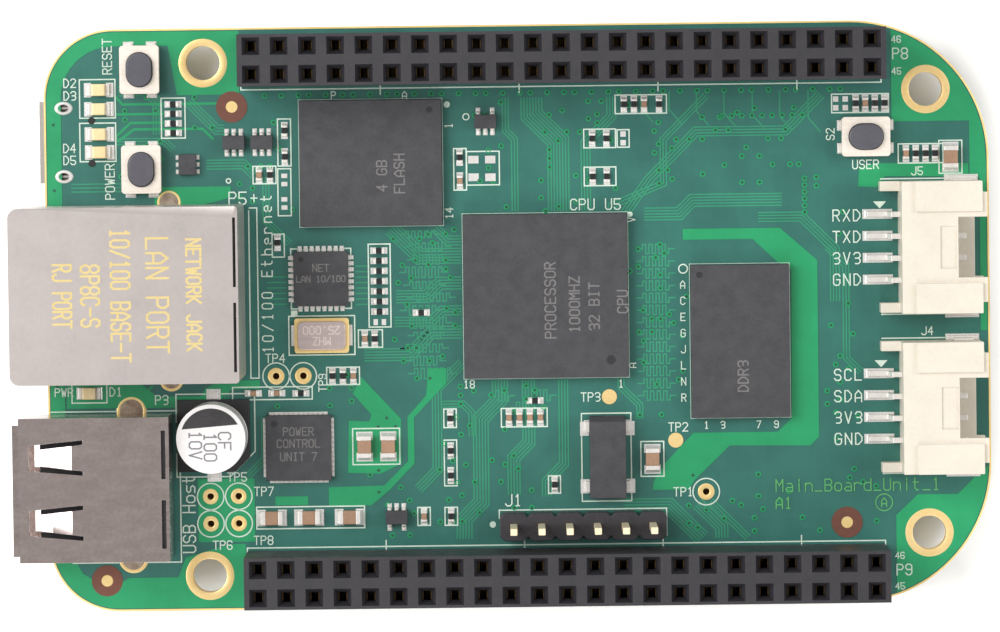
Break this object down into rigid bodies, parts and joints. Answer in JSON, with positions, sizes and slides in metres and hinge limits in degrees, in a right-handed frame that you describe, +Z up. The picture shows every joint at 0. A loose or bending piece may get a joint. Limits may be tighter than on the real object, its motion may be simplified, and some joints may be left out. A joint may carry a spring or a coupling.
{
  "type": "single board computer",
  "caption": "Green single board computer with twin expansion sockets, Ethernet jack, USB port, push buttons and side-entry sockets.",
  "frame": {"origin": "midway between the two mounting holes nearest the Ethernet jack, on the board's underside", "axes": "+X along the board away from the Ethernet jack, +Y across the board towards the header beside the reset button, +Z up through the components"},
  "size_m": [0.0892, 0.0534, 0.0177],
  "materials": {
    "circuit_board": "semi-gloss green solder mask over glass fibre",
    "header_plastic": "moulded, fine texture",
    "gold_contacts": "gold flash over copper alloy",
    "jack_shield": "satin nickel over copper alloy",
    "black_plastic": "moulded",
    "light_pipe": "clear moulded",
    "ferrite": "sintered ferrite",
    "tinned_metal": "bright tin plate",
    "usb_shell": "bright nickel, lightly brushed",
    "usb_insulator": "moulded",
    "slider_plastic": "moulded",
    "spring_steel": "stainless",
    "button_cover": "satin stainless",
    "button_plunger": "moulded, smooth",
    "chip_mould": "fine-grained moulding compound",
    "substrate": "resin laminate",
    "solder": "reflowed solder",
    "crystal_lid": "satin nickel",
    "crystal_base": "gold-plated rim on ceramic",
    "capacitor_can": "satin",
    "led_body": "moulded white",
    "led_lens": "clear yellowish resin",
    "ceramic": "fired ceramic",
    "resistor": "glazed",
    "socket_plastic": "moulded natural nylon"
  },
  "bodies": {
    "board": {"circuit_board": "circuit_board", "upper_header_housing": "header_plastic", "upper_header_contacts": "gold_contacts", "lower_header_housing": "header_plastic", "lower_header_contacts": "gold_contacts", "debug_header_base": "header_plastic", "debug_header_pins": "gold_contacts", "ethernet_jack_shield": "jack_shield", "ethernet_jack_housing": "black_plastic", "ethernet_jack_contacts": "gold_contacts", "ethernet_jack_light_pipes": "light_pipe", "ethernet_jack_transformers": "ferrite", "ethernet_jack_pins": "tinned_metal", "usb_host_shell": "usb_shell", "usb_host_insulator": "usb_insulator", "usb_host_contacts": "gold_contacts", "micro_usb_shell": "usb_shell", "micro_usb_insulator": "black_plastic", "micro_usb_contacts": "gold_contacts", "card_slot_cover": "usb_shell", "card_slot_base": "black_plastic", "card_slot_contacts": "gold_contacts", "card_slot_spring": "spring_steel", "card_slot_cam_rod": "spring_steel", "button_bases": "black_plastic", "button_covers": "button_cover", "button_terminals": "tinned_metal", "reset_button_dome": "spring_steel", "power_button_dome": "spring_steel", "user_button_dome": "spring_steel", "processor_package": "chip_mould", "memory_package": "chip_mould", "storage_package": "chip_mould", "bga_substrates": "substrate", "bga_solder_balls": "solder", "power_controller_package": "chip_mould", "ethernet_phy_package": "chip_mould", "flat_pack_leads": "tinned_metal", "crystal_lid": "crystal_lid", "crystal_base": "crystal_base", "clock_crystal_package": "chip_mould", "small_chip_packages": "chip_mould", "small_chip_leads": "tinned_metal", "capacitor_can": "capacitor_can", "capacitor_base": "black_plastic", "capacitor_leads": "tinned_metal", "status_led_bodies": "led_body", "status_led_lenses": "led_lens", "ceramic_capacitor_bodies": "ceramic", "chip_resistor_bodies": "resistor", "chip_end_caps": "tinned_metal", "power_inductors": "ferrite", "uart_socket_housing": "socket_plastic", "i2c_socket_housing": "socket_plastic", "side_socket_pins": "tinned_metal", "side_socket_anchors": "tinned_metal"},
    "reset_button": {"reset_button_plunger": "button_plunger"},
    "power_button": {"power_button_plunger": "button_plunger"},
    "user_button": {"user_button_plunger": "button_plunger"},
    "card_slider": {"card_slot_slider": "slider_plastic"}
  },
  "joints": [
    {"name": "reset_press", "type": "slide", "parent": "board", "child": "reset_button", "axis": [0, 0, -1], "range_m": [0, 0.00025], "stiffness_N_per_m": 6400, "deforming": ["reset_button_dome"]},
    {"name": "power_press", "type": "slide", "parent": "board", "child": "power_button", "axis": [0, 0, -1], "range_m": [0, 0.00025], "stiffness_N_per_m": 6400, "deforming": ["power_button_dome"]},
    {"name": "user_press", "type": "slide", "parent": "board", "child": "user_button", "axis": [0, 0, -1], "range_m": [0, 0.00025], "stiffness_N_per_m": 6400, "deforming": ["user_button_dome"]},
    {"name": "card_push", "type": "slide", "parent": "board", "child": "card_slider", "axis": [-1, 0, 0], "range_m": [0, 0.003], "stiffness_N_per_m": 400, "deforming": ["card_slot_spring"]}
  ]
}
